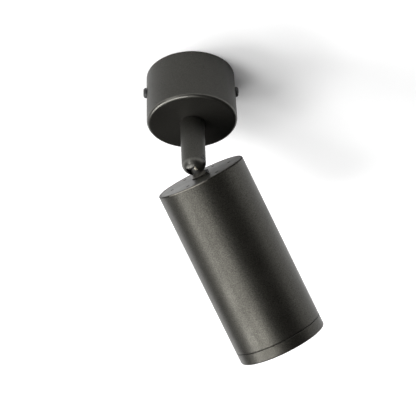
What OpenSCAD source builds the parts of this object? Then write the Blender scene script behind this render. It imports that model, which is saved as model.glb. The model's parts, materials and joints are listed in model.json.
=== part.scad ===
// Surface mounted ceiling spotlight: a round canopy, a swivelling stem and a tilting lamp head.
// Millimetres. The ceiling is the plane z = 0, the canopy's axis is Z and everything hangs below.

/* [Canopy] */
// Outside diameter of the canopy at its bottom
canopy_d = 60; // [58:0.5:72]
// Outside diameter of the canopy where it meets the ceiling
canopy_top_d = 58.8; // [57.5:0.1:72]
// Height of the canopy
canopy_h = 37; // [36:0.5:50]
// Thickness of the canopy's sheet
canopy_wall = 1.5; // [1:0.1:2]
// Outside radius of the canopy's bottom edge
canopy_edge_r = 2.5; // [2:0.1:4]
// Distance of the side screws below the ceiling
side_screw_drop = 12; // [9:0.5:14]

/* [Ceiling bracket] */
// Thickness of the bracket's sheet
bracket_t = 1.5; // [1.2:0.1:2]
// Width of the bracket's strap and ears
bracket_w = 14; // [13:0.5:15]
// Width of the slots for the ceiling screws
slot_w = 4.5; // [4:0.1:5.5]
// Length of the slots from end to end
slot_len = 9; // [8:0.5:10]
// Distance between the centres of the slots
slot_spacing = 34; // [33:0.5:36]
// Diameter of the hole for the supply cable
cable_hole_d = 10; // [8:0.5:11]

/* [Stem] */
// Diameter of the stem
stem_d = 16; // [15.5:0.1:17]
// Distance of the tilt axis below the ceiling
pivot_drop = 69; // [68.5:0.5:90]
// Width of the slot that the swivel eye moves in
fork_slot_w = 7; // [6.8:0.1:7.4]
// Outside diameter of the hollow nipple that holds the stem
nipple_d = 10; // [9.5:0.1:10.2]
// Bore of the hollow nipple
nipple_bore_d = 6; // [5:0.1:6.5]

/* [Head] */
// Outside diameter of the lamp head
head_d = 60.5; // [60:0.5:66]
// Length of the lamp head with its front ring
head_len = 124.5; // [122:0.5:150]
// Wall of the head's tube
head_wall = 2.25; // [1.8:0.05:2.5]
// Distance from the tilt axis to the rear edge of the head
head_gap = 9.6; // [9.2:0.1:11]
// Compass angle that the head is turned to, from +X towards +Y
head_azimuth = 54; // [0:1:359]
// Angle of the head away from straight down
head_tilt = 47; // [0:0.5:90]
// Height of the screwed front ring
front_ring_h = 7.8; // [6:0.1:10]
// Number of vent holes in the rear cap
vent_count = 6; // [3:1:8]
// Diameter of the circle that the vent holes lie on
vent_circle_d = 41; // [38:0.5:44]
// Diameter of each vent hole
vent_d = 2.5; // [2:0.1:3]
// Angle that the rear cap happens to be turned to when it is screwed home
cap_turn = 2.4; // [-8:0.1:8]

/* [Lamp] */
// Room between the lamp and the inside of the head's tube
lamp_gap = 3; // [2.7:0.1:4]
// Length of the reflector lamp without its pins
lamp_len = 46.5; // [46:0.5:50]
// Distance of the lamp's glass behind the front of the head
lamp_recess = 22; // [20:0.5:26]
// Distance between the lamp's two pins
pin_spacing = 10; // [10:0.1:11]

/* [Hidden] */
$fn = 96;

// Overrun of every cut past the face that it goes through
cut = 1;
// Radial clearance of a screw or nipple in the hole it turns or is screwed in
thread_gap = 0.08;
// Clearance of a piece that only rests beside or in another
seat_gap = 0.3;
// Clearance between faces that are pressed together
press_gap = 0.02;

// Canopy, worked out
canopy_r = canopy_d / 2;
canopy_top_r = canopy_top_d / 2;
canopy_floor_z = -canopy_h + canopy_wall;
side_slope = (canopy_r - canopy_top_r) / canopy_h;
// Radius of the canopy's inside wall at a depth below the ceiling
function canopy_inner_r(depth) = canopy_top_r - canopy_wall + side_slope * depth;
side_hole_d = 4.4;
side_screw_d = 4;
side_head_d = 7;
side_head_h = 2.1;
side_head_edge = 0.7;
side_head_round = 1.7;
side_cross_turn = 33;
side_screw_len = 8;
recess_w = 1;
recess_span = 3.8;
recess_depth = 1.1;

// Bracket, worked out
bracket_boss_d = 18;
ear_tip = 5.5;
bend_r = 2.4;
bend_inner_r = bend_r - bracket_t;
ear_len = side_screw_drop + ear_tip;
ear_room_r = min(canopy_inner_r(0), canopy_inner_r(ear_len));
ear_x = sqrt(pow(ear_room_r, 2) - pow(bracket_w / 2, 2)) - seat_gap;
wing_w = 18;
wing_margin = 4;
earth_tab_w = 12;
earth_tab_end_y = 20;
earth_y = -14.5;
earth_screw_d = 4;
earth_head_d = 7.2;
earth_head_h = 2.4;
earth_washer_d = 8.4;
earth_washer_t = 0.9;
bond_tag_t = 0.8;
bond_tag_d = 8;

// Terminal block, worked out
pole_count = 3;
pole_pitch = 8;
block_len = 15;
block_h = 12;
block_gap = 1.5;
block_x = pole_count * pole_pitch;
block_room_r = min(canopy_inner_r(0), canopy_inner_r(bracket_t + block_h)) - block_gap;
block_y = sqrt(pow(block_room_r, 2) - pow(block_x / 2, 2)) - block_len;
barrel_d = 4.8;
barrel_bore_d = 3;
barrel_len = 12;
barrel_stop = 0.8;
barrel_drop = 5;
entry_d = 3.8;
clamp_offset = 3.3;
clamp_d = 2.6;
clamp_head_d = 3.4;
clamp_head_h = 1.6;
shaft_d = 3.9;
fix_d = 2.4;
fix_head_d = 4.2;
fix_head_h = 1.6;
block_top_z = -bracket_t;
block_bottom_z = block_top_z - block_h;
barrel_z = block_top_z - barrel_drop;
block_mid_y = block_y + block_len / 2;
// Place of one pole along the block
function pole_x(i) = (i - (pole_count - 1) / 2) * pole_pitch;

// Swivel under the canopy's floor and the stack of washers on top of it
nipple_r = nipple_d / 2;
stem_r = stem_d / 2;
swivel_washer_t = 1;
swivel_washer_d = 13.4;
swivel_recess = 0.8;
friction_washer_t = 0.8;
friction_washer_d = 16;
stop_washer_t = 1.2;
stop_washer_d = 17;
stop_tab_w = 2;
stop_tab_r = 13;
stop_pin_d = 2;
stop_pin_r = 11.6;
stop_pin_h = 3.2;
spring_washer_t = 1.4;
spring_washer_d = 15.5;
spring_cut_w = 1.2;
lock_nut_w = 14;
lock_nut_t = 3;
nipple_proud = 1.6;
nipple_in_stem = 11;
friction_z = canopy_floor_z + press_gap;
stop_z = friction_z + friction_washer_t + press_gap;
spring_z = stop_z + stop_washer_t + press_gap;
nut_z = spring_z + spring_washer_t + press_gap;
nipple_top_z = nut_z + lock_nut_t + nipple_proud;
nipple_bottom_z = -canopy_h - nipple_in_stem;
stem_top_z = -canopy_h - (swivel_washer_t - swivel_recess) - press_gap;
wire_bore_d = 6;

// Tilt joint, worked out in the head's own frame, where the tilt axis is at zero and -Z is the beam
eye_w = fork_slot_w - 2 * seat_gap;
eye_end_r = 4.8;
eye_shank_d = 8;
eye_bore_d = 4;
eye_proud = 1.8;
fork_clear_r = stem_r + seat_gap;
pivot_screw_d = 3;
pivot_hole_d = 3.06;
pivot_head_d = 4;
pivot_head_h = 1.6;
pivot_head_gap = 0.15;
pivot_driver_w = 0.8;
pivot_driver_depth = 0.8;
wire_sleeve_d = 3.4;
collar_d = 9.4;
collar_flange_d = 11.4;
collar_flange_t = 1;
collar_screw_a = 8.3;
collar_screw_head_d = 2.8;
collar_screw_head_h = 1.5;
collar_screw_head_at = 5.1;
collar_screw_d = 2;
collar_screw_driver_w = 0.5;
collar_screw_driver_depth = 0.6;

// Head, worked out, as distances along the beam from the tilt axis
head_r = head_d / 2;
tube_inner_r = head_r - head_wall;
front_a = head_gap + head_len;
ring_a = front_a - front_ring_h;
seam_w = 0.45;
seam_depth = 0.6;
tube_edge_r = 1;
tube_end_a = ring_a - seam_w;
cap_inset = 0.15;
cap_t = 1.6;
cap_groove = 0.3;
cap_step = 1.35;
cap_r = head_r - cap_step;
cap_edge_r = 0.3;
cap_plug_len = 5;
cap_plug_wall = 2.2;
cap_a = head_gap + cap_inset;
cap_under_a = cap_a + cap_t;
cap_hole_d = 8.4;
eye_washer_d = 16;
eye_washer_t = 1;
eye_nut_w = 13;
eye_nut_t = 5;
tag_t = 0.8;
tag_d = 12;
tag_len = 15;
tag_w = 4;
tag_a = cap_under_a + press_gap;
washer_a = tag_a + tag_t + press_gap;
eye_nut_a = washer_a + eye_washer_t + press_gap;
eye_tip_a = eye_nut_a + eye_nut_t + eye_proud;
head_sleeve_end_a = eye_tip_a + 2 * eye_proud;
boss_d = 8;
boss_gap = 2.3;
standoff_y = tube_inner_r - cap_plug_wall - boss_gap - boss_d / 2;
standoff_w = 6;
standoff_stud_d = 3.8;
boss_h = 4;
boss_hole_d = 4;
standoff_stud_len = 3.6;
standoff_a = cap_under_a + boss_h + press_gap;

// Lamp, its holder and the plate that carries it
lamp_r = tube_inner_r - lamp_gap;
lamp_front_a = front_a - lamp_recess;
lamp_back_a = lamp_front_a - lamp_len;
holder_h = 19;
holder_gap = 2.2;
plate_screw_head_d = 5.6;
holder_d = 2 * (standoff_y - plate_screw_head_d / 2 - holder_gap);
holder_a = lamp_back_a - seat_gap - holder_h;
holder_rim = 1;
plate_t = 1.2;
plate_w = 15;
plate_end = 5;
plate_a = holder_a - press_gap - plate_t;
standoff_len = plate_a - press_gap - standoff_a;
plate_screw_d = 3;
plate_screw_len = 7;
plate_screw_head_h = 1.8;
holder_screw_share = 0.48;
holder_screw_d = 2.9;
holder_screw_len = 8;
pin_r = pin_spacing / 2;
pin_neck_d = 3;
pin_head_d = 4.8;
pin_head_h = 2.6;
pin_slot_gap = 0.35;
pin_cover_t = 3;
pin_len = pin_cover_t + pin_head_h + 2 * seat_gap;
pin_root_len = 4;
lamp_turn = 20;
contact_t = 0.6;
contact_d = 4.4;
crimp_d = 2.5;
crimp_len = 4;
channel_d = 2.8;
chamber_a = lamp_back_a - pin_len - seat_gap - contact_t - press_gap;
lamp_neck_d = 24;
lamp_neck_len = 15;
lamp_rim_h = 3.2;
lamp_shell = 1.5;
lamp_skirt = 6;
lens_t = 2.4;
lens_well_d = 6.4;
lens_well_circle = 17;
lens_well_count = 3;
lens_well_depth = 1;

// Front ring and gasket
ring_thread_len = 6;
ring_sleeve_gap = 1;
ring_edge_r = 1;
ring_lip_w = 3.4;
gasket_t = 1.6;
gasket_w = 3.4;
ring_sleeve_r = tube_inner_r - ring_sleeve_gap;
ring_mouth_r = head_r - ring_lip_w;

// Wires
lead_d = 1.5;
wire_window = pin_spacing + lead_d + 2 * seat_gap;
holder_screw_y = wire_window / 2 + holder_screw_share * (holder_d - wire_window) / 2;
lead_strip = 3;
lead_spread = 0.15;
wire_sides = 8;
curve_step = 0.2;
sleeve_split = 0.4;

// Basic shapes

// A ring of rectangular section standing on z = 0
module ring(outer_r, inner_r, height) {
    difference() {
        cylinder(r = outer_r, h = height);
        translate([0, 0, -cut])
            cylinder(r = inner_r, h = height + 2 * cut);
    }
}

// A disc standing on z = 0 whose upper edge is rounded
module edged_disc(radius, height, edge) {
    rotate_extrude()
        union() {
            square([radius - edge, height]);
            square([radius, height - edge]);
            translate([radius - edge, height - edge])
                intersection() {
                    circle(r = edge);
                    square(edge);
                }
        }
}

// A pan screw along -Z: the head stands above z = 0 and the shank goes down from it
module pan_screw(head_width, head_height, edge, shank_d, shank_len) {
    difference() {
        edged_disc(head_width / 2, head_height, edge);
        for (turn = [0, 90])
            rotate([0, 0, turn])
                translate([-recess_span / 2, -recess_w / 2, head_height - recess_depth])
                    cube([recess_span, recess_w, recess_depth + cut]);
    }
    translate([0, 0, -shank_len])
        cylinder(d = shank_d, h = shank_len + press_gap);
}

// A slotted cheese head screw along -Z, its head standing above z = 0
module slotted_screw(head_width, head_height, shank_d, shank_len, driver_w, driver_depth) {
    difference() {
        cylinder(d = head_width, h = head_height);
        translate([-head_width, -driver_w / 2, head_height - driver_depth])
            cube([2 * head_width, driver_w, driver_depth + cut]);
    }
    translate([0, 0, -shank_len])
        cylinder(d = shank_d, h = shank_len + press_gap);
}

// Puts children into the head's own frame: +Z along the beam, -X to the side the stem swings to
module in_head() {
    translate([0, 0, -pivot_drop])
        rotate([0, 0, head_azimuth])
            rotate([0, 180 - head_tilt, 0])
                children();
}

// Puts children into the stem's frame at the tilt axis: +X to the side the head swings to
module at_pivot() {
    translate([0, 0, -pivot_drop])
        rotate([0, 0, head_azimuth])
            children();
}

// Points of a smooth curve through hand-picked places
function curve_point(p, i, t) =
    let (
        a = p[max(i - 1, 0)],
        b = p[i],
        c = p[i + 1],
        d = p[min(i + 2, len(p) - 1)]
    )
    ((2 * b) + (c - a) * t + (2 * a - 5 * b + 4 * c - d) * t * t
        + (3 * b - a - 3 * c + d) * t * t * t) / 2;
function curve(p) = concat(
    [for (i = [0 : len(p) - 2]) for (t = [0 : curve_step : 1 - curve_step / 2]) curve_point(p, i, t)],
    [p[len(p) - 1]]
);
function unit(v) = v / norm(v);
function path_direction(p, i) = unit(p[min(i + 1, len(p) - 1)] - p[max(i - 1, 0)]);
// A side direction carried along the path, so that the tube doesn't twist
function carried(v, d) = unit(v - (v * d) * d);
function side_directions(p, first, i = 0) =
    i >= len(p) ? [] :
    let (s = carried(first, path_direction(p, i)))
    concat([s], side_directions(p, s, i + 1));

// A round wire along the smooth curve through the places given
module wire(places, diameter, first_side) {
    p = curve(places);
    sides = side_directions(p, first_side);
    n = wire_sides;
    points = [
        for (i = [0 : len(p) - 1])
            let (d = path_direction(p, i), s = sides[i], u = cross(d, s))
            for (k = [0 : n - 1])
                p[i] + diameter / 2 * (cos(360 * k / n) * s + sin(360 * k / n) * u)
    ];
    faces = concat(
        [[for (k = [0 : n - 1]) k]],
        [
            for (i = [0 : len(p) - 2])
                for (k = [0 : n - 1])
                    for (half = [0, 1])
                        let (a = i * n + k, b = i * n + (k + 1) % n, c = a + n, e = b + n)
                        half == 0 ? [a, c, b] : [b, c, e]
        ],
        [[for (k = [n - 1 : -1 : 0]) (len(p) - 1) * n + k]]
    );
    polyhedron(points = points, faces = faces);
}

// Canopy and what it holds

module canopy() {
    edge = canopy_edge_r;
    inner_edge = max(edge - canopy_wall, seat_gap);
    inner_bottom_r = canopy_inner_r(canopy_h - canopy_wall);
    color([0.13, 0.13, 0.125])
        difference() {
            rotate_extrude()
                difference() {
                    union() {
                        polygon([
                            [0, -canopy_h], [canopy_r - edge, -canopy_h], [canopy_r, edge - canopy_h],
                            [canopy_top_r, 0], [0, 0]
                        ]);
                        translate([canopy_r - edge, edge - canopy_h])
                            circle(r = edge);
                    }
                    difference() {
                        polygon([
                            [0, canopy_floor_z], [inner_bottom_r, canopy_floor_z],
                            [canopy_top_r - canopy_wall, 0], [canopy_top_r - canopy_wall, cut], [0, cut]
                        ]);
                        translate([inner_bottom_r - inner_edge, canopy_floor_z])
                            difference() {
                                square(inner_edge);
                                translate([0, inner_edge])
                                    circle(r = inner_edge);
                            }
                    }
                }
            translate([0, 0, -canopy_h - cut])
                cylinder(r = nipple_r + thread_gap, h = canopy_wall + 2 * cut);
            for (side = [-1, 1])
                translate([side * canopy_inner_r(side_screw_drop), 0, -side_screw_drop])
                    rotate([0, 90, 0])
                        cylinder(d = side_hole_d, h = 4 * canopy_wall, center = true);
        }
}

// The flat outline of the bracket between its bent ears, seen from above
module bracket_outline() {
    flat_x = ear_x - bend_r;
    difference() {
        union() {
            translate([-flat_x, -bracket_w / 2])
                square([2 * flat_x, bracket_w]);
            circle(d = bracket_boss_d);
            translate([-wing_w / 2, 0])
                square([wing_w, block_mid_y + wing_margin]);
            translate([-earth_tab_w / 2, -earth_tab_end_y])
                square([earth_tab_w, earth_tab_end_y]);
        }
        circle(d = cable_hole_d);
        for (side = [-1, 1])
            translate([side * slot_spacing / 2, 0]) {
                square([slot_len - slot_w, slot_w], center = true);
                for (end = [-1, 1])
                    translate([end * (slot_len - slot_w) / 2, 0])
                        circle(d = slot_w);
            }
        for (side = [-1, 1])
            translate([side * pole_pitch / 2, block_mid_y])
                circle(r = fix_d / 2 + thread_gap);
        translate([0, earth_y])
            circle(r = earth_screw_d / 2 + thread_gap);
    }
}

// One bent ear with its bend, seen from the side, on the +X end
module ear_profile() {
    translate([ear_x - bend_r, -bend_r])
        intersection() {
            difference() {
                circle(r = bend_r);
                circle(r = bend_inner_r);
            }
            square(bend_r);
        }
    translate([ear_x - bracket_t, -ear_len])
        square([bracket_t, ear_len - bend_r]);
}

module mounting_bracket() {
    color([0.72, 0.72, 0.74])
        difference() {
            union() {
                translate([0, 0, -bracket_t])
                    linear_extrude(bracket_t)
                        bracket_outline();
                for (side = [0, 180])
                    rotate([0, 0, side])
                        translate([0, bracket_w / 2, 0])
                            rotate([90, 0, 0])
                                linear_extrude(bracket_w)
                                    ear_profile();
            }
            for (side = [-1, 1])
                translate([side * ear_x, 0, -side_screw_drop])
                    rotate([0, 90, 0])
                        cylinder(r = side_screw_d / 2 + thread_gap, h = 3 * bracket_t, center = true);
        }
}

module canopy_screws() {
    seat_x = canopy_top_r + side_slope * side_screw_drop + abs(side_slope) * side_head_d / 2;
    color([0.16, 0.16, 0.16])
        for (side = [0, 180])
            rotate([0, 0, side])
                translate([seat_x, 0, -side_screw_drop])
                    rotate([0, 90, 0])
                        rotate([0, 0, side == 0 ? side_cross_turn : -side_cross_turn])
                            pan_screw(
                                side_head_d, side_head_h, side_head_round, side_screw_d, side_screw_len
                            );
}

module terminal_block() {
    color([0.92, 0.91, 0.87])
        difference() {
            translate([-block_x / 2, block_y, block_bottom_z])
                cube([block_x, block_len, block_h]);
            for (i = [0 : pole_count - 1])
                translate([pole_x(i), block_mid_y, 0]) {
                    translate([0, 0, barrel_z])
                        rotate([90, 0, 0]) {
                            cylinder(
                                r = barrel_d / 2 + press_gap, h = barrel_len + 2 * press_gap,
                                center = true
                            );
                            cylinder(d = entry_d, h = block_len + 2 * cut, center = true);
                        }
                    for (end = [-1, 1])
                        translate([0, end * clamp_offset, block_bottom_z - cut])
                            cylinder(d = shaft_d, h = barrel_z - block_bottom_z + cut);
                }
            for (side = [-1, 1])
                translate([side * pole_pitch / 2, block_mid_y, block_bottom_z - cut]) {
                    cylinder(r = fix_d / 2 + thread_gap, h = block_h + 2 * cut);
                    cylinder(r = fix_head_d / 2 + press_gap, h = fix_head_h + cut);
                }
        }
}

module terminal_barrels() {
    half_len = (barrel_len - barrel_stop) / 2;
    color([0.8, 0.68, 0.35])
        for (i = [0 : pole_count - 1])
            translate([pole_x(i), block_mid_y, barrel_z])
                difference() {
                    rotate([90, 0, 0])
                        cylinder(d = barrel_d, h = barrel_len, center = true);
                    for (end = [-1, 1]) {
                        translate([0, end * barrel_stop / 2, 0])
                            rotate([-90 * end, 0, 0])
                                cylinder(d = barrel_bore_d, h = half_len + cut);
                        translate([0, end * clamp_offset, -barrel_d])
                            cylinder(r = clamp_d / 2 + thread_gap, h = barrel_d);
                    }
                }
}

module terminal_screws() {
    tip_z = barrel_z - barrel_bore_d / 2 - press_gap;
    head_z = barrel_z - barrel_d / 2 - clamp_head_h;
    color([0.75, 0.75, 0.77])
        for (i = [0 : pole_count - 1])
            for (end = [-1, 1])
                translate([pole_x(i), block_mid_y + end * clamp_offset, head_z])
                    mirror([0, 0, 1])
                        slotted_screw(
                            clamp_head_d, clamp_head_h, clamp_d, tip_z - head_z,
                            pivot_driver_w, pivot_driver_depth
                        );
}

module block_screws() {
    color([0.75, 0.75, 0.77])
        for (side = [-1, 1])
            translate([side * pole_pitch / 2, block_mid_y, block_bottom_z + fix_head_h - press_gap])
                mirror([0, 0, 1])
                    slotted_screw(
                        fix_head_d, fix_head_h, fix_d, block_h - fix_head_h + bracket_t,
                        pivot_driver_w, pivot_driver_depth
                    );
}

module earth_washer() {
    color([0.8, 0.8, 0.8])
        translate([0, earth_y, -bracket_t - press_gap - bond_tag_t - press_gap - earth_washer_t])
            ring(earth_washer_d / 2, earth_screw_d / 2 + thread_gap, earth_washer_t);
}

module earth_screw() {
    head_z = -bracket_t - bond_tag_t - earth_washer_t - 3 * press_gap;
    color([0.8, 0.68, 0.35])
        translate([0, earth_y, head_z])
            mirror([0, 0, 1])
                pan_screw(
                    earth_head_d, earth_head_h, side_head_edge, earth_screw_d, -head_z - press_gap
                );
}

module stop_pin() {
    color([0.7, 0.7, 0.72])
        rotate([0, 0, head_azimuth])
            translate([-stop_pin_r, 0, canopy_floor_z])
                cylinder(d = stop_pin_d, h = stop_pin_h);
}

// A lead from one pole, out of the block's far side and back under it to the nipple's mouth
module canopy_lead(pole, shift_x, shift_y, paint) {
    out_y = block_y + block_len;
    low_z = block_bottom_z - 2 * lead_d;
    start_y = block_mid_y + barrel_stop / 2 + lead_strip;
    mouth_z = nipple_top_z + lead_d;
    color(paint)
        wire([
            [pole, start_y, barrel_z],
            [pole, out_y, barrel_z],
            [pole, out_y + lead_d, barrel_z - lead_d / 2],
            [pole, out_y + 1.5 * lead_d, barrel_z - 2 * lead_d],
            [pole, out_y + lead_d, (barrel_z + low_z) / 2 - lead_d],
            [pole, out_y - lead_d, low_z],
            [pole * 0.7 + shift_x * 0.3, block_mid_y, low_z - lead_d],
            [pole * 0.2 + shift_x * 0.8, block_y / 2 + shift_y, low_z],
            [shift_x, shift_y + lead_d / 2, (low_z + mouth_z) / 2],
            [shift_x, shift_y, mouth_z]
        ], lead_d, [1, 0, 0]);
}

module live_lead() {
    canopy_lead(pole_x(0), -lead_d / 2 - lead_spread, -lead_d / 2, [0.45, 0.27, 0.15]);
}

module neutral_lead() {
    canopy_lead(pole_x(1), 0, lead_d / 2 + lead_spread, [0.2, 0.35, 0.7]);
}

module earth_lead() {
    canopy_lead(pole_x(2), lead_d / 2 + lead_spread, -lead_d / 2, [0.35, 0.6, 0.25]);
}

// The bracket's own earth wire, from the earth pole's supply side to a ring tag under the earth screw
module bond_lead() {
    tag_z = -bracket_t - press_gap - bond_tag_t;
    pole = pole_x(pole_count - 1);
    start_y = block_mid_y - barrel_stop / 2 - lead_strip;
    end_z = tag_z - lead_d / 4;
    tongue_x = earth_washer_d / 2 + 2 * lead_d;
    bulge = pole + lead_d;
    color([0.35, 0.6, 0.25]) {
        translate([0, earth_y, tag_z])
            ring(bond_tag_d / 2, earth_screw_d / 2 + thread_gap, bond_tag_t);
        translate([bond_tag_d / 2 - bond_tag_t / 2, earth_y - lead_d / 2, tag_z])
            cube([tongue_x - bond_tag_d / 2 + bond_tag_t / 2, lead_d, bond_tag_t]);
        wire([
            [pole, start_y, barrel_z],
            [pole, block_y, barrel_z],
            [pole, block_y - 2 * lead_d, barrel_z],
            [bulge, 0, barrel_z - lead_d],
            [bulge, earth_y / 2, barrel_z - lead_d / 2],
            [pole + lead_d / 2, earth_y * 0.85, (barrel_z + end_z) / 2],
            [tongue_x + lead_d / 2, earth_y, end_z],
            [tongue_x - 1.2 * lead_d, earth_y, end_z]
        ], lead_d, [0, 0, 1]);
    }
}

// Stem

module stem() {
    slot_half = eye_shank_d / 2 + seat_gap;
    color([0.13, 0.13, 0.125])
        difference() {
            union() {
                translate([0, 0, -pivot_drop])
                    cylinder(r = stem_r, h = stem_top_z + pivot_drop);
                translate([0, 0, -pivot_drop])
                    sphere(r = stem_r);
            }
            translate([0, 0, stem_top_z - swivel_recess])
                cylinder(r = swivel_washer_d / 2 + press_gap, h = swivel_recess + cut);
            translate([0, 0, nipple_bottom_z - seat_gap])
                cylinder(r = nipple_r + thread_gap, h = pivot_drop);
            translate([0, 0, -pivot_drop])
                cylinder(d = wire_bore_d, h = pivot_drop);
            at_pivot() {
                rotate([90, 0, 0])
                    cylinder(r = eye_end_r + seat_gap, h = fork_slot_w, center = true);
                translate([-slot_half, -fork_slot_w / 2, -stem_d])
                    cube([stem_d + slot_half, fork_slot_w, stem_d]);
                translate([0, -fork_slot_w / 2, -cut])
                    cube([stem_d, fork_slot_w, cut + slot_half]);
                rotate([90, 0, 0])
                    cylinder(d = pivot_hole_d, h = stem_d + cut, center = true);
                for (side = [-1, 1])
                    rotate([90 * side, 0, 0])
                        translate([0, 0, stem_r - pivot_head_h - pivot_head_gap])
                            cylinder(r = pivot_head_d / 2 + pivot_head_gap, h = stem_r);
            }
        }
}

module stem_nipple() {
    color([0.78, 0.78, 0.8])
        translate([0, 0, nipple_bottom_z])
            ring(nipple_r, nipple_bore_d / 2, nipple_top_z - nipple_bottom_z);
}

module swivel_washer() {
    color([0.9, 0.9, 0.88])
        translate([0, 0, -canopy_h - press_gap - swivel_washer_t])
            ring(swivel_washer_d / 2, nipple_r + thread_gap, swivel_washer_t);
}

module friction_washer() {
    color([0.9, 0.9, 0.88])
        translate([0, 0, friction_z])
            ring(friction_washer_d / 2, nipple_r + thread_gap, friction_washer_t);
}

module stop_washer() {
    color([0.75, 0.75, 0.77])
        translate([0, 0, stop_z])
            rotate([0, 0, head_azimuth])
                linear_extrude(stop_washer_t)
                    difference() {
                        union() {
                            circle(d = stop_washer_d);
                            translate([0, -stop_tab_w / 2])
                                square([stop_tab_r, stop_tab_w]);
                        }
                        circle(r = nipple_r + thread_gap);
                    }
}

module spring_washer() {
    color([0.6, 0.6, 0.62])
        translate([0, 0, spring_z])
            difference() {
                ring(spring_washer_d / 2, nipple_r + thread_gap, spring_washer_t);
                translate([0, -spring_cut_w / 2, -cut])
                    cube([spring_washer_d, spring_cut_w, spring_washer_t + 2 * cut]);
            }
}

module lock_nut() {
    color([0.78, 0.78, 0.8])
        translate([0, 0, nut_z])
            difference() {
                cylinder(d = lock_nut_w / cos(30), h = lock_nut_t, $fn = 6);
                translate([0, 0, -cut])
                    cylinder(r = nipple_r + thread_gap, h = lock_nut_t + 2 * cut);
            }
}

module pivot_screws() {
    head_at = stem_r - pivot_head_h - pivot_head_gap / 2;
    color([0.2, 0.2, 0.2])
        at_pivot()
            for (side = [-1, 1])
                rotate([90 * side, 0, 0])
                    translate([0, 0, head_at])
                        slotted_screw(
                            pivot_head_d, pivot_head_h - pivot_head_gap, pivot_screw_d,
                            head_at - eye_bore_d / 2 - press_gap, pivot_driver_w, pivot_driver_depth
                        );
}

module stem_wire_sleeve() {
    color([0.85, 0.83, 0.78]) {
        translate([0, 0, -pivot_drop])
            cylinder(d = wire_sleeve_d, h = pivot_drop + nipple_top_z);
        translate([0, 0, -pivot_drop])
            sphere(d = wire_sleeve_d);
    }
}

// Joint between stem and head

// The room that the stem takes up beside the head while the head goes from straight down to level
module stem_sweep(radius) {
    sphere(r = radius);
    rotate([0, -90, 0])
        cylinder(r = radius, h = 2 * radius);
    translate([0, 0, -2 * radius])
        cylinder(r = radius, h = 2 * radius);
    translate([-2 * radius, -radius, -2 * radius])
        cube([2 * radius, 2 * radius, 2 * radius]);
}

module swivel_eye() {
    color([0.86, 0.82, 0.72])
        in_head()
            difference() {
                union() {
                    rotate([90, 0, 0])
                        cylinder(r = eye_end_r, h = eye_w, center = true);
                    intersection() {
                        cylinder(d = eye_shank_d, h = cap_a);
                        translate([-eye_shank_d, -eye_w / 2, 0])
                            cube([2 * eye_shank_d, eye_w, cap_a]);
                    }
                    difference() {
                        cylinder(d = eye_shank_d, h = eye_tip_a);
                        stem_sweep(fork_clear_r);
                    }
                }
                cylinder(d = eye_bore_d, h = eye_tip_a + cut);
                translate([-2 * eye_end_r, -eye_bore_d / 2, -2 * eye_end_r])
                    cube([2 * eye_end_r + eye_bore_d / 2, eye_bore_d, 2 * eye_end_r + eye_bore_d / 2]);
                rotate([90, 0, 0])
                    cylinder(d = pivot_hole_d, h = 2 * eye_w, center = true);
                collar_screw_hole();
            }
}

// The threaded hole for the screw in the collar's side
module collar_screw_hole() {
    translate([0, 0, collar_screw_a])
        rotate([90, 0, 0])
            cylinder(r = collar_screw_d / 2 + thread_gap, h = collar_flange_d);
}

module neck_collar() {
    color([0.13, 0.13, 0.125])
        in_head()
            difference() {
                union() {
                    cylinder(d = collar_d, h = cap_a - press_gap);
                    translate([0, 0, cap_a - press_gap - collar_flange_t])
                        cylinder(d = collar_flange_d, h = collar_flange_t);
                    translate([0, 0, collar_screw_a])
                        rotate([90, 0, 0])
                            cylinder(d = collar_screw_head_d, h = collar_screw_head_at - press_gap);
                }
                stem_sweep(fork_clear_r);
                cylinder(r = eye_shank_d / 2 + press_gap, h = cap_a + cut);
                collar_screw_hole();
                translate([0, 0, collar_screw_a])
                    rotate([90, 0, 0])
                        translate([0, 0, collar_screw_head_at - press_gap])
                            cylinder(r = collar_screw_head_d / 2 + seat_gap, h = collar_flange_d);
            }
}

module collar_screw() {
    color([0.16, 0.16, 0.16])
        in_head()
            translate([0, 0, collar_screw_a])
                rotate([90, 0, 0])
                    translate([0, 0, collar_screw_head_at])
                        slotted_screw(
                            collar_screw_head_d, collar_screw_head_h, collar_screw_d,
                            collar_screw_head_at - wire_sleeve_d / 2 - press_gap,
                            collar_screw_driver_w, collar_screw_driver_depth
                        );
}

// Head's shell

module rear_cap() {
    plug_r = tube_inner_r - thread_gap;
    color([0.13, 0.13, 0.125])
        in_head()
            difference() {
                union() {
                    translate([0, 0, cap_under_a])
                        mirror([0, 0, 1])
                            edged_disc(cap_r, cap_t, cap_edge_r);
                    translate([0, 0, cap_under_a - cap_t / 2])
                        ring(plug_r, plug_r - cap_plug_wall, cap_plug_len + cap_t / 2);
                    for (side = [-1, 1])
                        translate([0, side * standoff_y, cap_under_a - cap_t / 2])
                            cylinder(d = boss_d, h = boss_h + cap_t / 2);
                }
                translate([0, 0, cap_a - cut])
                    cylinder(d = cap_hole_d, h = cap_t + 2 * cut);
                for (i = [0 : vent_count - 1])
                    rotate([0, 0, cap_turn + 360 * i / vent_count])
                        translate([vent_circle_d / 2, 0, cap_a - cut])
                            cylinder(d = vent_d, h = cap_t + 2 * cut);
                for (side = [-1, 1])
                    translate([0, side * standoff_y, cap_under_a])
                        cylinder(d = boss_hole_d, h = boss_h + cut);
            }
}

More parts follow.
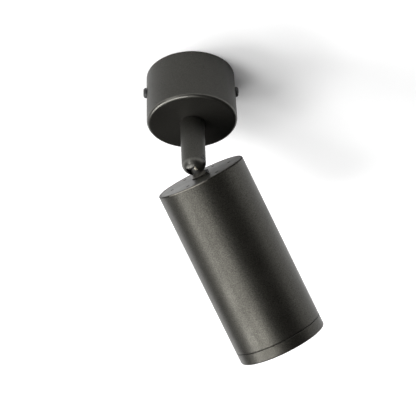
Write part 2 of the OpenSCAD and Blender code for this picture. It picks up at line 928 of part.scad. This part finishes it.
module head_tube() {
    rebate_r = cap_r + cap_groove;
    ledge_a = cap_under_a + press_gap;
    color([0.13, 0.13, 0.125])
        in_head()
            rotate_extrude()
                union() {
                    polygon([
                        [rebate_r, head_gap], [head_r - tube_edge_r, head_gap],
                        [head_r, head_gap + tube_edge_r], [head_r, tube_end_a],
                        [head_r - seam_depth, tube_end_a], [head_r - seam_depth, ring_a - press_gap],
                        [tube_inner_r, ring_a - press_gap], [tube_inner_r, ledge_a], [rebate_r, ledge_a]
                    ]);
                    translate([head_r - tube_edge_r, head_gap + tube_edge_r])
                        intersection() {
                            circle(r = tube_edge_r);
                            translate([0, -tube_edge_r])
                                square(tube_edge_r);
                        }
                }
}

// What hangs inside the head

module earth_tag() {
    color([0.8, 0.75, 0.55])
        in_head()
            translate([0, 0, tag_a])
                linear_extrude(tag_t)
                    difference() {
                        union() {
                            circle(d = tag_d);
                            translate([0, -tag_w / 2])
                                square([tag_len, tag_w]);
                        }
                        circle(r = eye_shank_d / 2 + thread_gap);
                    }
}

module eye_washer() {
    color([0.8, 0.8, 0.8])
        in_head()
            translate([0, 0, washer_a])
                ring(eye_washer_d / 2, eye_shank_d / 2 + thread_gap, eye_washer_t);
}

module eye_nut() {
    color([0.78, 0.78, 0.8])
        in_head()
            translate([0, 0, eye_nut_a])
                difference() {
                    cylinder(d = eye_nut_w / cos(30), h = eye_nut_t, $fn = 6);
                    translate([0, 0, -cut])
                        cylinder(r = eye_shank_d / 2 + thread_gap, h = eye_nut_t + 2 * cut);
                }
}

module standoffs() {
    color([0.8, 0.7, 0.4])
        in_head()
            for (side = [-1, 1])
                translate([0, side * standoff_y, standoff_a])
                    difference() {
                        union() {
                            cylinder(d = standoff_w / cos(30), h = standoff_len, $fn = 6);
                            translate([0, 0, -standoff_stud_len])
                                cylinder(d = standoff_stud_d, h = standoff_stud_len + cut);
                        }
                        translate([0, 0, standoff_len - plate_screw_len])
                            cylinder(r = plate_screw_d / 2 + thread_gap, h = plate_screw_len + cut);
                    }
}

module holder_plate() {
    half_len = standoff_y + plate_end;
    color([0.72, 0.72, 0.74])
        in_head()
            translate([0, 0, plate_a])
                linear_extrude(plate_t)
                    difference() {
                        translate([-plate_w / 2, -half_len])
                            square([plate_w, 2 * half_len]);
                        circle(d = wire_window);
                        for (side = [-1, 1]) {
                            translate([0, side * standoff_y])
                                circle(r = plate_screw_d / 2 + thread_gap);
                            translate([0, side * holder_screw_y])
                                circle(r = holder_screw_d / 2 + thread_gap);
                        }
                    }
}

module plate_screws() {
    color([0.75, 0.75, 0.77])
        in_head()
            for (side = [-1, 1])
                translate([0, side * standoff_y, plate_a + plate_t + press_gap])
                    pan_screw(
                        plate_screw_head_d, plate_screw_head_h, side_head_edge,
                        plate_screw_d, plate_screw_len
                    );
}

module holder_screws() {
    color([0.75, 0.75, 0.77])
        in_head()
            for (side = [-1, 1])
                translate([0, side * holder_screw_y, plate_a - press_gap])
                    mirror([0, 0, 1])
                        pan_screw(
                            plate_screw_head_d, plate_screw_head_h, side_head_edge,
                            holder_screw_d, holder_screw_len
                        );
}

// The flat outline of a slot that lets a pin of the given width turn with the lamp
module pin_slot(width) {
    far = 2 * pin_spacing;
    side_turn = asin(width / 2 / pin_r);
    turns = [-side_turn, lamp_turn / 2, lamp_turn + side_turn];
    intersection() {
        difference() {
            circle(r = pin_r + width / 2);
            circle(r = pin_r - width / 2);
        }
        polygon(concat([[0, 0]], [for (turn = turns) far * [cos(turn), sin(turn)]]));
    }
}

module lampholder() {
    neck_slot = pin_neck_d + 2 * pin_slot_gap;
    head_slot = pin_head_d + 2 * pin_slot_gap;
    face_a = holder_a + holder_h;
    color([0.94, 0.93, 0.9])
        in_head()
            difference() {
                translate([0, 0, holder_a])
                    edged_disc(holder_d / 2, holder_h, holder_rim);
                for (side = [0, 180])
                    rotate([0, 0, side]) {
                        translate([0, 0, chamber_a])
                            linear_extrude(face_a - chamber_a + cut)
                                pin_slot(neck_slot);
                        translate([0, 0, chamber_a])
                            linear_extrude(face_a - chamber_a - pin_cover_t)
                                pin_slot(head_slot);
                        rotate([0, 0, lamp_turn])
                            translate([pin_r, 0, face_a - 2 * pin_cover_t])
                                cylinder(r = pin_head_d / 2 + seat_gap, h = 2 * pin_cover_t + cut);
                        translate([pin_r, 0, holder_a - cut])
                            cylinder(d = channel_d, h = chamber_a - holder_a + 2 * cut);
                    }
                for (side = [-1, 1])
                    translate([0, side * holder_screw_y, holder_a - cut])
                        cylinder(r = holder_screw_d / 2 + thread_gap, h = holder_screw_len + cut);
            }
}

module holder_contacts() {
    color([0.8, 0.5, 0.3])
        in_head()
            for (side = [-1, 1])
                translate([side * pin_r, 0, chamber_a + press_gap]) {
                    cylinder(d = contact_d, h = contact_t);
                    translate([0, 0, -crimp_len])
                        difference() {
                            cylinder(d = crimp_d, h = crimp_len + contact_t / 2);
                            translate([0, 0, -cut])
                                cylinder(r = lead_d / 2 + thread_gap, h = crimp_len + cut);
                        }
                }
}

module head_wire_sleeve() {
    color([0.85, 0.83, 0.78])
        in_head()
            translate([0, 0, wire_sleeve_d / 2 + sleeve_split])
                cylinder(d = wire_sleeve_d, h = head_sleeve_end_a - wire_sleeve_d / 2 - sleeve_split);
}

// A lead from the end of the sleeve through the plate's window into one contact of the holder
module lamp_lead(side, paint) {
    start = head_sleeve_end_a + press_gap;
    side_y = lead_d / 3;
    gather = lead_d / 2 + press_gap;
    tip = chamber_a - lead_d / 2;
    run = holder_a - start;
    color(paint)
        in_head()
            wire([
                [side * gather, side_y, start],
                [side * gather, side_y, start + lead_d],
                [side * gather * 1.5, side_y, start + run * 0.3],
                [side * pin_r * 0.7, side_y, start + run * 0.62],
                [side * pin_r, 0, holder_a - lead_d],
                [side * pin_r, 0, holder_a + lead_d],
                [side * pin_r, 0, tip]
            ], lead_d, [0, 1, 0]);
}

module lamp_live_lead() {
    lamp_lead(1, [0.45, 0.27, 0.15]);
}

module lamp_neutral_lead() {
    lamp_lead(-1, [0.2, 0.35, 0.7]);
}

module head_earth_lead() {
    start = head_sleeve_end_a + press_gap;
    blade_x = tag_len - lead_d;
    blade_a = tag_a + tag_t + press_gap;
    side_y = -lead_d / 2 - press_gap;
    color([0.35, 0.6, 0.25])
        in_head()
            wire([
                [0, side_y, start],
                [lead_d / 4, side_y, start + lead_d],
                [blade_x * 0.3, side_y * 2.5, start + 2.6 * lead_d],
                [blade_x * 0.72, side_y * 2.5, start + 1.6 * lead_d],
                [blade_x * 0.96, side_y, start - 2.2 * lead_d],
                [blade_x, 0, blade_a + 2 * lead_d],
                [blade_x, 0, blade_a]
            ], lead_d, [0, 1, 0]);
}

// Lamp

module lamp_base() {
    color([0.93, 0.93, 0.92])
        in_head()
            translate([0, 0, lamp_back_a])
                difference() {
                    cylinder(d = lamp_neck_d, h = lamp_neck_len);
                    for (side = [-1, 1])
                        translate([side * pin_r, 0, -cut])
                            cylinder(r = pin_neck_d / 2 + press_gap, h = pin_root_len + cut);
                }
}

module lamp_pins() {
    color([0.82, 0.82, 0.84])
        in_head()
            for (side = [-1, 1])
                translate([side * pin_r, 0, lamp_back_a - pin_len]) {
                    cylinder(d = pin_head_d, h = pin_head_h);
                    cylinder(d = pin_neck_d, h = pin_len + pin_root_len - press_gap);
                }
}

module lamp_body() {
    neck_r = lamp_neck_d / 2;
    base_end = lamp_back_a + lamp_neck_len;
    floor_a = base_end + press_gap;
    rim_a = lamp_front_a - lamp_rim_h;
    color([0.85, 0.85, 0.86])
        in_head()
            rotate_extrude()
                polygon([
                    [neck_r + press_gap, base_end - lamp_skirt], [neck_r + lamp_shell, base_end - lamp_skirt],
                    [neck_r + lamp_shell, base_end], [lamp_r, rim_a], [lamp_r, lamp_front_a],
                    [lamp_r - lamp_shell, lamp_front_a], [lamp_r - lamp_shell, rim_a],
                    [neck_r, floor_a + lamp_shell], [0, floor_a + lamp_shell], [0, floor_a],
                    [neck_r + press_gap, floor_a]
                ]);
}

module lamp_lens() {
    color([0.9, 0.93, 0.95])
        in_head()
            translate([0, 0, lamp_front_a - lamp_rim_h])
                difference() {
                    cylinder(r = lamp_r - lamp_shell - press_gap, h = lens_t);
                    for (i = [0 : lens_well_count - 1])
                        rotate([0, 0, 360 * i / lens_well_count])
                            translate([lens_well_circle / 2, 0, -cut])
                                cylinder(d = lens_well_d, h = lens_well_depth + cut);
                }
}

// Front

module lamp_gasket() {
    color([0.3, 0.3, 0.3])
        in_head()
            translate([0, 0, lamp_front_a + press_gap])
                ring(ring_sleeve_r, ring_sleeve_r - gasket_w, gasket_t);
}

module front_ring() {
    thread_r = tube_inner_r - thread_gap;
    thread_a = ring_a - ring_thread_len;
    end_a = lamp_front_a + gasket_t + 2 * press_gap;
    color([0.13, 0.13, 0.125])
        in_head()
            rotate_extrude()
                union() {
                    polygon([
                        [ring_sleeve_r - gasket_w, end_a], [ring_sleeve_r, end_a],
                        [ring_sleeve_r, thread_a], [thread_r, thread_a], [thread_r, ring_a],
                        [head_r, ring_a], [head_r, front_a - ring_edge_r],
                        [head_r - ring_edge_r, front_a], [ring_mouth_r, front_a]
                    ]);
                    translate([head_r - ring_edge_r, front_a - ring_edge_r])
                        circle(r = ring_edge_r);
                }
}

canopy();
mounting_bracket();
canopy_screws();
terminal_block();
terminal_barrels();
terminal_screws();
block_screws();
earth_screw();
earth_washer();
live_lead();
neutral_lead();
earth_lead();
bond_lead();
stop_pin();
stem();
stem_nipple();
swivel_washer();
friction_washer();
stop_washer();
spring_washer();
lock_nut();
pivot_screws();
stem_wire_sleeve();
swivel_eye();
neck_collar();
collar_screw();
rear_cap();
head_tube();
eye_washer();
eye_nut();
earth_tag();
standoffs();
holder_plate();
plate_screws();
lampholder();
holder_screws();
holder_contacts();
head_wire_sleeve();
lamp_live_lead();
lamp_neutral_lead();
head_earth_lead();
lamp_base();
lamp_pins();
lamp_body();
lamp_lens();
lamp_gasket();
front_ring();
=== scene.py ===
import json
import math
import bmesh
import bpy
from mathutils import Matrix, Vector

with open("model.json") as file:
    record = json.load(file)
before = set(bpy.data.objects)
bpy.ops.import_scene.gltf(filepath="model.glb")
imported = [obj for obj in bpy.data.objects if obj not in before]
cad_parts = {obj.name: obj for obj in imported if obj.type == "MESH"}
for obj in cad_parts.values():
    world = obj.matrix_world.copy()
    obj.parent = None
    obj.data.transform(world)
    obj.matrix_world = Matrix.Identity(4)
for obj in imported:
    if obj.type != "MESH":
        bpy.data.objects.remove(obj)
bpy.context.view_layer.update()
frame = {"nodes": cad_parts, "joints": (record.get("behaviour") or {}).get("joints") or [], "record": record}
scene = bpy.context.scene
scene.view_settings.view_transform = "Standard"

# The camera's axes and place were found by fitting the outlines in the photograph
CAMERA_RIGHT = (0.9989261, -0.0285124, -0.0365205)
CAMERA_UP = (0.0149822, -0.5470995, 0.8369335)
CAMERA_BACK = (-0.0438434, -0.8365818, -0.5460847)
CAMERA_PLACE = (-0.0473541, -1.0564981, -0.7939539)
CAMERA_LENS = 170.13
SENSOR_WIDTH = 36
CLIP_START = 0.05
CLIP_END = 50


def add_camera():
    data = bpy.data.cameras.new("camera")
    data.lens = CAMERA_LENS
    data.sensor_width = SENSOR_WIDTH
    data.clip_start = CLIP_START
    data.clip_end = CLIP_END
    camera = bpy.data.objects.new("camera", data)
    scene.collection.objects.link(camera)
    axes = Matrix((CAMERA_RIGHT, CAMERA_UP, CAMERA_BACK)).transposed().to_4x4()
    camera.matrix_world = Matrix.Translation(CAMERA_PLACE) @ axes
    scene.camera = camera


add_camera()

# The tilt axis and the head's own axis, from the record's joints
joints = {j["name"]: j for j in frame["joints"]}
PIVOT = Vector(joints["tilt"]["pos_m"])
HINGE = Vector(joints["tilt"]["axis"]).normalized()
BEAM = Vector(joints["ring_turn"]["axis"]).normalized()


def head_point(along, side=0.0, across=0.0):
    """A place from the tilt axis: along the beam, square to beam and hinge, along the hinge."""
    return PIVOT + BEAM * along + HINGE.cross(BEAM) * side + HINGE * across


# Node building


class Nodes:
    """Short ways to add and link nodes in an emptied tree."""

    def __init__(self, tree):
        self.tree = tree
        tree.nodes.clear()

    def add(self, kind, **settings):
        node = self.tree.nodes.new(kind)
        for key, value in settings.items():
            setattr(node, key, value)
        return node

    def link(self, a, b):
        self.tree.links.new(a, b)

    def maths_node(self, kind, operation, values):
        """A maths node whose inputs are sockets or plain values."""
        node = self.add(kind, operation=operation)
        for value, socket in zip(values, node.inputs):
            if isinstance(value, bpy.types.NodeSocket):
                self.link(value, socket)
            else:
                socket.default_value = value
        return node

    def math(self, operation, *values):
        return self.maths_node("ShaderNodeMath", operation, values).outputs["Value"]

    def measure(self, operation, *vectors):
        """The number that DOT_PRODUCT or DISTANCE makes of two vectors."""
        return self.maths_node("ShaderNodeVectorMath", operation, vectors).outputs["Value"]

    def offset(self, place, origin):
        """The vector from origin to place."""
        node = self.maths_node("ShaderNodeVectorMath", "SUBTRACT", (place, origin))
        return node.outputs["Vector"]

    def spread(self, fac, low, high, start=0.3, end=0.7, shape="LINEAR"):
        """fac from start to end becomes low to high."""
        node = self.add("ShaderNodeMapRange", interpolation_type=shape)
        ends = {"From Min": start, "From Max": end, "To Min": low, "To Max": high}
        for key, value in ends.items():
            node.inputs[key].default_value = value
        self.link(fac, node.inputs["Value"])
        return node.outputs[0]

    def colours(self, fac, *stops):
        node = self.add("ShaderNodeValToRGB")
        ramp = node.color_ramp
        while len(ramp.elements) < len(stops):
            ramp.elements.new(0.5)
        for element, (place, colour) in zip(ramp.elements, stops):
            element.position = place
            element.color = (*colour, 1)
        self.link(fac, node.inputs[0])
        return node.outputs[0]


class Shader(Nodes):
    """One material's nodes, with a principled or another shader as its surface."""

    def __init__(self, name, surface="ShaderNodeBsdfPrincipled"):
        self.material = bpy.data.materials.new(name)
        self.material.use_nodes = True
        super().__init__(self.material.node_tree)
        self.surface = self.add(surface)
        self.link(self.surface.outputs[0], self.add("ShaderNodeOutputMaterial").inputs[0])
        places = self.add("ShaderNodeTexCoord").outputs
        self.coords, self.normal = places["Object"], places["Normal"]

    def set(self, **values):
        for key, value in values.items():
            self.surface.inputs[key.replace("_", " ")].default_value = value

    def noise(self, size, detail=2.0, roughness=0.5, stretch=(1, 1, 1)):
        """A noise whose lumps are about size metres wide, stretched along the axes."""
        mapping = self.add("ShaderNodeMapping")
        mapping.inputs["Scale"].default_value = [1 / (size * s) for s in stretch]
        self.link(self.coords, mapping.inputs["Vector"])
        texture = self.add("ShaderNodeTexNoise")
        texture.inputs["Scale"].default_value = 1
        texture.inputs["Detail"].default_value = detail
        texture.inputs["Roughness"].default_value = roughness
        self.link(mapping.outputs[0], texture.inputs["Vector"])
        return texture.outputs["Fac"]

    def bump(self, fac, height, strength=1.0, under=None):
        node = self.add("ShaderNodeBump")
        node.inputs["Strength"].default_value = strength
        node.inputs["Distance"].default_value = height
        self.link(fac, node.inputs["Height"])
        if under:
            self.link(under, node.inputs["Normal"])
        return node.outputs[0]

    def wear(self, parts):
        """Links each named socket to the surface, and gives the finished material."""
        for key, socket in parts.items():
            self.link(socket, self.surface.inputs[key])
        return self.material


def tint(colour, factor):
    return tuple(min(1.0, c * factor) for c in colour)


# Powder paint

# How wide the coarse lumps and the shining spots are against the grain, and the lumps' height
LUMPS_TO_GRAIN = 2.6
SPOTS_TO_GRAIN = 0.9
LUMPS_TO_RELIEF = 1.5
CLOUD = 0.018
BEVEL_SAMPLES = 4


def powder_coat(name, colour, gloss_tint, grain, height, roughness, level, sparkle, edge, change):
    """Matte powder paint with a sandy relief and grains that shine more or less.

    Sharp edges look rounded by edge, and change alters the paint in places."""
    s = Shader(name)
    s.set(IOR=1.5, Specular_Tint=(*gloss_tint, 1))
    fine = s.noise(grain, 2, 0.6)
    lumps = s.noise(grain * LUMPS_TO_GRAIN, 2)
    edges = s.add("ShaderNodeBevel", samples=BEVEL_SAMPLES)
    edges.inputs["Radius"].default_value = edge
    relief = s.bump(lumps, height * LUMPS_TO_RELIEF, 1.0, edges.outputs[0])
    dark, light = (0.3, tint(colour, 0.6)), (0.74, tint(colour, 1.8))
    spots = s.noise(grain * SPOTS_TO_GRAIN, 1)
    parts = {
        "Base Color": s.colours(fine, dark, (0.52, colour), light),
        "Roughness": s.spread(s.noise(CLOUD, 2), roughness - 0.03, roughness + 0.03),
        "Specular IOR Level": s.spread(spots, level - sparkle, level + sparkle),
        "Normal": s.bump(fine, height, 1.0, relief),
    }
    change(s, parts, lumps, level)
    return s.wear(parts)


# By the size of the normal's height: white where the surface is upright or level, black between
PLAIN_STOPS = ((0.08, (1, 1, 1)), (0.3, (0, 0, 0)), (0.93, (0, 0, 0)), (0.99, (1, 1, 1)))
ROUNDED_SMOOTHER = 0.08
ROUNDED_SHINE = 0.7


def shine_on_rounding(s, parts, lumps, level):
    """Where the surface turns between upright and level, it is smoother and shines more."""
    axes = s.add("ShaderNodeSeparateXYZ")
    s.link(s.normal, axes.inputs[0])
    plain = s.colours(s.math("ABSOLUTE", axes.outputs["Z"]), *PLAIN_STOPS)
    smoother = s.spread(plain, ROUNDED_SMOOTHER, 0, 0, 1)
    brighter = s.spread(plain, ROUNDED_SHINE, 0, 0, 1)
    parts["Roughness"] = s.math("SUBTRACT", parts["Roughness"], smoother)
    parts["Specular IOR Level"] = s.math("ADD", parts["Specular IOR Level"], brighter)


# Grey painted on as light: a painted highlight on the lit side of the rear shoulder, and painted light on
# the shaded collar
PAINTED_LIGHT_GREY = (0.26, 0.245, 0.215)
# The head's rear shoulder, by how far along the beam it starts and ends, with its soft edges
SHOULDER_START = (0.00985, 0.01)
SHOULDER_END = (0.0105, 0.0107)
# The direction from the tilt axis to the side facing the lamps, and how far out along it the painted
# highlight starts and is full
LIT_SIDE = (-0.344, -0.592, -0.7288)
LIT_SIDE_FROM_TO = (0.026, 0.0292)
# How much the shoulder's shine rises on its lit side; away from it the shine falls to about none
LIT_SIDE_SHINE = 0.2
# The collar's share of the grey, painted light that lightens its shade, and where the collar ends along the
# beam
COLLAR_PAINTED_LIGHT = 0.3
COLLAR_END = (0.0088, 0.0092)


def paint_head_highlight(s, parts, lumps, level):
    """The rear shoulder gets a painted highlight of grey on its lit side and is dull on the rest; the collar
    gets a little of the grey as painted light.
    """
    place = s.offset(s.coords, PIVOT)
    along = s.measure("DOT_PRODUCT", place, BEAM)
    beside = s.measure("DOT_PRODUCT", place, LIT_SIDE)
    shoulder = s.math(
        "MULTIPLY", s.spread(along, 0, 1, *SHOULDER_START), s.spread(along, 1, 0, *SHOULDER_END)
    )
    shine = s.spread(beside, -level, LIT_SIDE_SHINE, *LIT_SIDE_FROM_TO)
    parts["Specular IOR Level"] = s.math(
        "MULTIPLY_ADD", shoulder, shine, parts["Specular IOR Level"]
    )
    # Painted highlight: grey on the shoulder's side that faces the lamps
    painted_highlight = s.math("MULTIPLY", shoulder, s.spread(beside, 0, 1, *LIT_SIDE_FROM_TO))
    # Painted light: the collar lies in the rear cap's shade and is lightened with some of the grey
    collar = s.spread(along, COLLAR_PAINTED_LIGHT, 0, *COLLAR_END)
    paint = s.add("ShaderNodeMix", data_type="RGBA")
    s.link(s.math("MAXIMUM", painted_highlight, collar), paint.inputs["Factor"])
    s.link(parts["Base Color"], paint.inputs[6])
    grey = s.colours(lumps, (0.35, tint(PAINTED_LIGHT_GREY, 0.7)), (0.65, PAINTED_LIGHT_GREY))
    s.link(grey, paint.inputs[7])
    parts["Base Color"] = paint.outputs[2]


# Other finishes


def plain_metal(name, colour, roughness, stretch=(1, 1, 1)):
    """Bare or plated metal with fine drawn marks."""
    s = Shader(name)
    s.set(Metallic=1.0)
    marks = s.noise(0.00035, 3, 0.6, stretch)
    cloud = s.noise(0.004, 2)
    return s.wear(
        {
            "Base Color": s.colours(cloud, (0.3, tint(colour, 0.86)), (0.7, tint(colour, 1.05))),
            "Roughness": s.spread(marks, roughness - 0.08, roughness + 0.1),
            "Normal": s.bump(marks, 0.000004, 0.7),
        }
    )


def plastic(name, colour, roughness, grain=0.0004, height=0.000006):
    """Moulded or extruded plastic, rubber or unglazed ceramic with a faint texture."""
    s = Shader(name)
    s.set(IOR=1.48)
    fine = s.noise(grain, 3)
    cloud = s.noise(0.005, 3)
    return s.wear(
        {
            "Base Color": s.colours(cloud, (0.3, tint(colour, 0.9)), (0.7, tint(colour, 1.04))),
            "Roughness": s.spread(fine, roughness - 0.07, roughness + 0.07),
            "Normal": s.bump(fine, height, 0.6),
        }
    )


def clear_glass(name):
    s = Shader(name)
    s.set(Base_Color=(0.97, 0.985, 0.99, 1), Transmission_Weight=1.0, IOR=1.5)
    waves = s.noise(0.003, 2)
    return s.wear(
        {"Roughness": s.spread(waves, 0.03, 0.09), "Normal": s.bump(waves, 0.00002, 0.5)}
    )


# The bare spot on the swivel eye: its place for head_point, its radius and its edge's width
BARE_SPOT = (0.0032, -0.0036, 0.0019)
BARE_SPOT_RADIUS = 0.0013
BARE_SPOT_EDGE = 0.0003
BARE_METAL, BARE_ROUGHNESS = (0.9, 0.84, 0.7), 0.4
EYE_PAINT, EYE_PAINT_ROUGHNESS = (0.085, 0.082, 0.074), 0.42


def painted_eye(name):
    """Cast metal painted black, rubbed bare in one spot beside the pivot."""
    s = Shader(name)
    s.set(IOR=1.5)
    distance = s.measure("DISTANCE", s.coords, head_point(*BARE_SPOT))
    ragged = s.math("ADD", distance, s.spread(s.noise(0.0008, 2), -0.0003, 0.0003))
    painted = s.spread(ragged, 0, 1, BARE_SPOT_RADIUS, BARE_SPOT_RADIUS + BARE_SPOT_EDGE)
    return s.wear(
        {
            "Base Color": s.colours(painted, (0.0, BARE_METAL), (1.0, EYE_PAINT)),
            "Metallic": s.spread(painted, 1, 0, 0, 1),
            "Roughness": s.spread(painted, BARE_ROUGHNESS, EYE_PAINT_ROUGHNESS, 0, 1),
            "Normal": s.bump(s.noise(0.0007, 2), 0.00001, 0.8),
        }
    )


# Name of a record's material slot: colour, roughness and, where it isn't the usual, the texture
METALS = {
    "zinc_plate": ((0.62, 0.63, 0.65), 0.34, (1, 8, 1)),
    "spring_steel": ((0.42, 0.42, 0.44), 0.4),
    "brass": ((0.78, 0.6, 0.3), 0.3),
    "copper": ((0.8, 0.45, 0.3), 0.32),
    "pin_metal": ((0.76, 0.76, 0.77), 0.2),
    "lamp_shell": ((0.8, 0.8, 0.81), 0.35),
}
PLASTICS = {
    "black_screw": ((0.03, 0.03, 0.03), 0.4),
    "block_plastic": ((0.85, 0.84, 0.79), 0.5),
    "nylon": ((0.82, 0.82, 0.79), 0.45),
    "brown_insulation": ((0.2, 0.09, 0.04), 0.4),
    "blue_insulation": ((0.04, 0.13, 0.5), 0.4),
    "green_insulation": ((0.16, 0.42, 0.05), 0.4),
    "wire_sleeve": ((0.78, 0.74, 0.64), 0.6, 0.0006, 0.00002),
    "holder_ceramic": ((0.86, 0.85, 0.81), 0.65, 0.0005, 0.00001),
    "lamp_plastic": ((0.85, 0.85, 0.84), 0.4),
    "gasket_rubber": ((0.05, 0.05, 0.05), 0.7),
}

for imported in list(bpy.data.materials):
    bpy.data.materials.remove(imported)
MATERIALS = {
    "canopy_coat": powder_coat(
        "canopy_coat",
        colour=(0.0088, 0.0084, 0.0072),
        gloss_tint=(1.0, 0.98, 0.89),
        grain=0.0005,
        height=0.000012,
        roughness=0.44,
        level=0.55,
        sparkle=0.12,
        edge=0.0003,
        change=shine_on_rounding,
    ),
    "head_coat": powder_coat(
        "head_coat",
        colour=(0.0098, 0.0092, 0.0078),
        gloss_tint=(1.0, 0.965, 0.84),
        grain=0.0007,
        height=0.00003,
        roughness=0.39,
        level=0.58,
        sparkle=0.24,
        edge=0.0006,
        change=paint_head_highlight,
    ),
    "bare_eye": painted_eye("bare_eye"),
    "lamp_glass": clear_glass("lamp_glass"),
    **{name: plain_metal(name, *look) for name, look in METALS.items()},
    **{name: plastic(name, *look) for name, look in PLASTICS.items()},
}

slot_of = {s["node"]: s["material_slot"] for s in frame["record"]["subparts"]}
for node_name, node in frame["nodes"].items():
    node.data.materials.clear()
    node.data.materials.append(MATERIALS[slot_of[node_name]])

# Stage: the ceiling takes the fitting's shadow; from above it isn't seen

CEILING_HALF = 3
CEILING_HEIGHT = 0.0002
CEILING_WHITE = (0.9, 0.9, 0.9)
# The glow all over, and how much it rises between two distances from a centre; the rise is painted light
# that lightens the fitting's cast shadow away from the centre
GLOW = 0.114
GLOW_CENTRE = (-0.001, -0.02, 0)
GLOW_RISES = ((0.277, 0.06, 0.12), (0.6, 0.4, 1.2))


def ceiling_material():
    """White, with a glow for the rays that see it, and clear from above."""
    s = Shader("ceiling", "ShaderNodeMixShader")
    path = s.add("ShaderNodeLightPath").outputs
    reflected = s.math("MAXIMUM", path["Is Glossy Ray"], path["Is Transmission Ray"])
    seen = s.math("MAXIMUM", path["Is Camera Ray"], reflected)
    distance = s.measure("DISTANCE", s.coords, GLOW_CENTRE)
    strength = GLOW
    # Painted light: the glow rises away from the centre and washes out the farther part of the shadow
    for rise, start, end in GLOW_RISES:
        lift = s.spread(distance, 0, rise, start, end, "SMOOTHSTEP")
        strength = s.math("ADD", lift, strength)
    glow = s.add("ShaderNodeEmission")
    s.link(s.math("MULTIPLY", seen, strength), glow.inputs["Strength"])
    white = s.add("ShaderNodeBsdfDiffuse")
    white.inputs["Color"].default_value = (*CEILING_WHITE, 1)
    both = s.add("ShaderNodeAddShader")
    s.link(white.outputs[0], both.inputs[0])
    s.link(glow.outputs[0], both.inputs[1])
    s.link(s.add("ShaderNodeNewGeometry").outputs["Backfacing"], s.surface.inputs[0])
    s.link(both.outputs[0], s.surface.inputs[1])
    s.link(s.add("ShaderNodeBsdfTransparent").outputs[0], s.surface.inputs[2])
    return s.material


def add_ceiling():
    mesh = bpy.data.meshes.new("ceiling")
    shape = bmesh.new()
    corners = [
        shape.verts.new((x * CEILING_HALF, y * CEILING_HALF, CEILING_HEIGHT))
        for x, y in ((-1, -1), (-1, 1), (1, 1), (1, -1))
    ]
    shape.faces.new(corners)
    shape.to_mesh(mesh)
    shape.free()
    mesh.materials.append(ceiling_material())
    ceiling = bpy.data.objects.new("ceiling", mesh)
    scene.collection.objects.link(ceiling)


add_ceiling()

# The room: white where it is seen, dim where it lights
ROOM = (0.005, 0.005, 0.005)
HORIZON_FADE = -0.12


def add_world():
    """White where rays see it, for glossy ones only at the horizon and above, and dim as light."""
    world = bpy.data.worlds.new("room")
    scene.world = world
    world.use_nodes = True
    n = Nodes(world.node_tree)
    path = n.add("ShaderNodeLightPath").outputs
    direction = n.add("ShaderNodeSeparateXYZ")
    n.link(n.add("ShaderNodeTexCoord").outputs["Generated"], direction.inputs[0])
    horizon = n.spread(direction.outputs["Z"], 0, 1, HORIZON_FADE, 0)
    share = n.math("MULTIPLY", path["Is Glossy Ray"], horizon)
    for ray in ("Is Camera Ray", "Is Transmission Ray"):
        share = n.math("MAXIMUM", path[ray], share)
    mix = n.add("ShaderNodeMixShader")
    n.link(share, mix.inputs[0])
    for socket, colour in ((1, ROOM), (2, (1, 1, 1))):
        background = n.add("ShaderNodeBackground")
        background.inputs["Color"].default_value = (*colour, 1)
        n.link(background.outputs[0], mix.inputs[socket])
    n.link(mix.outputs[0], n.add("ShaderNodeOutputWorld").inputs[0])


add_world()

# Lamps round a point in the fitting: azimuth from +X towards +Y, elevation, and power in watts
TARGET = Vector((0.0215, 0.0289, -0.08))
LAMP_DISTANCE = 2.4
LAMP_SIZE = 0.8
LAMPS = {
    "side_left": (172, -45, 21.1),
    "left_low": (212, -65, 15.9),
    "back_left": (147, -45, 14.2),
    "left_high": (222, -20, 12.0),
    "camera_low": (252, -65, 6.1),
    "left": (202, -50, 5.4),
    "side_low": (192, -65, 4.6),
    "front_low": (232, -65, 3.7),
    "camera_side": (252, -28, 1.5),
    "back_high": (147, -28, 1.2),
}


def add_lamp(name, azimuth, elevation, power):
    a, e = math.radians(azimuth), math.radians(elevation)
    toward = Vector((math.cos(a) * math.cos(e), math.sin(a) * math.cos(e), math.sin(e)))
    data = bpy.data.lights.new(name, "AREA")
    data.shape = "DISK"
    data.size = LAMP_SIZE
    data.energy = power
    lamp = bpy.data.objects.new(name, data)
    lamp.location = TARGET + toward * LAMP_DISTANCE
    lamp.rotation_mode = "QUATERNION"
    lamp.rotation_quaternion = toward.to_track_quat("Z", "Y")
    scene.collection.objects.link(lamp)


for lamp_name, lamp_settings in LAMPS.items():
    add_lamp(lamp_name, *lamp_settings)
